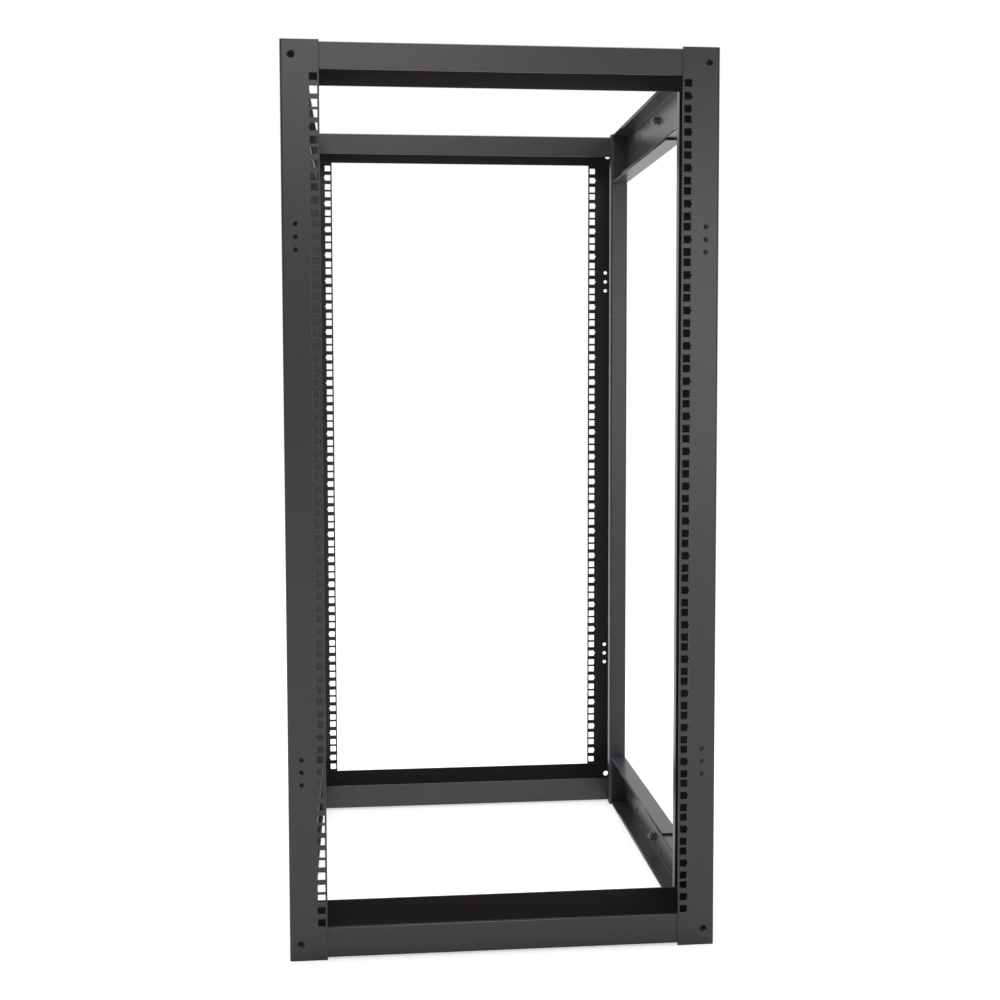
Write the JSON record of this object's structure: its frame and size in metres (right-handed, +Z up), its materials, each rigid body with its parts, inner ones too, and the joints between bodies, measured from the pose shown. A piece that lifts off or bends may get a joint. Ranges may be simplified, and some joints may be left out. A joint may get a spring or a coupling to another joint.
{
  "type": "four post open frame rack",
  "caption": "Freestanding open frame rack for 19-inch equipment: folded sheet steel posts with square holes, cross rails at the front and rear, and telescoping side rails.",
  "frame": {"origin": "on the floor, under the middle of the rack", "axes": "+X to the right seen from the front, +Y from the front to the rear, +Z up"},
  "size_m": [0.546, 0.68, 1.147],
  "materials": {
    "black_powder_coat": "satin powder coat"
  },
  "bodies": {
    "root": {"post_front_left": "black_powder_coat", "post_front_right": "black_powder_coat", "post_rear_left": "black_powder_coat", "post_rear_right": "black_powder_coat", "rail_front_top": "black_powder_coat", "rail_front_bottom": "black_powder_coat", "rail_rear_top": "black_powder_coat", "rail_rear_bottom": "black_powder_coat", "side_inner_top_left": "black_powder_coat", "side_inner_top_right": "black_powder_coat", "side_inner_bottom_left": "black_powder_coat", "side_inner_bottom_right": "black_powder_coat", "side_outer_top_left": "black_powder_coat", "side_outer_top_right": "black_powder_coat", "side_outer_bottom_left": "black_powder_coat", "side_outer_bottom_right": "black_powder_coat", "plate_inner_top_left": "black_powder_coat", "plate_inner_top_right": "black_powder_coat", "plate_inner_bottom_left": "black_powder_coat", "plate_inner_bottom_right": "black_powder_coat", "plate_outer_top_left": "black_powder_coat", "plate_outer_top_right": "black_powder_coat", "plate_outer_bottom_left": "black_powder_coat", "plate_outer_bottom_right": "black_powder_coat"}
  },
  "joints": []
}
